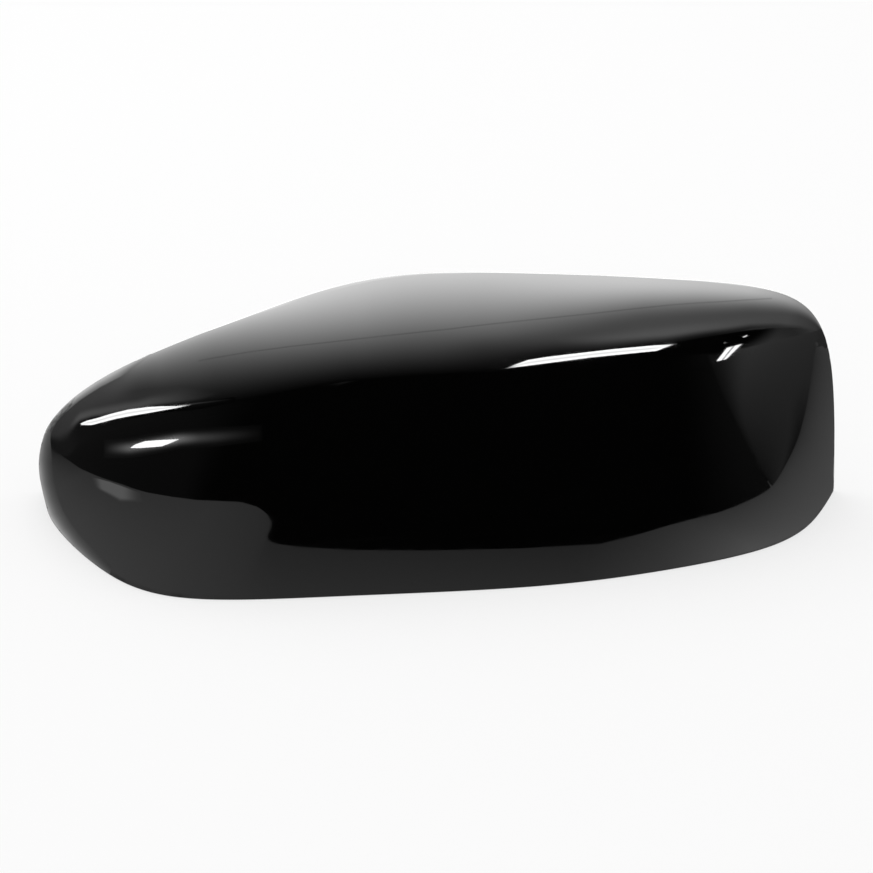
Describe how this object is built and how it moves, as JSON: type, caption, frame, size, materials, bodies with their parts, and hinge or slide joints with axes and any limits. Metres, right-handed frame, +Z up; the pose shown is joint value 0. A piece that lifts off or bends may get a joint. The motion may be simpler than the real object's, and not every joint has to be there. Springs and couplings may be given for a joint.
{
  "type": "wing mirror cover",
  "caption": "Gloss black moulded cap that clips over the outer shell of a car door mirror, open at the rear and below, with hooks and locating pegs inside.",
  "frame": {"origin": "under the middle of the cap's box, in the plane of the lower rim that it stands on", "axes": "+X along the cap from the narrow nose to the blunt end, +Y back into the open side towards the mirror glass, +Z up from the lower rim"},
  "size_m": [0.253, 0.077, 0.075],
  "materials": {
    "gloss_abs": "high-gloss black moulded ABS outside, as-moulded satin inside"
  },
  "bodies": {
    "root": {"mirror_cover": "gloss_abs"}
  },
  "joints": []
}
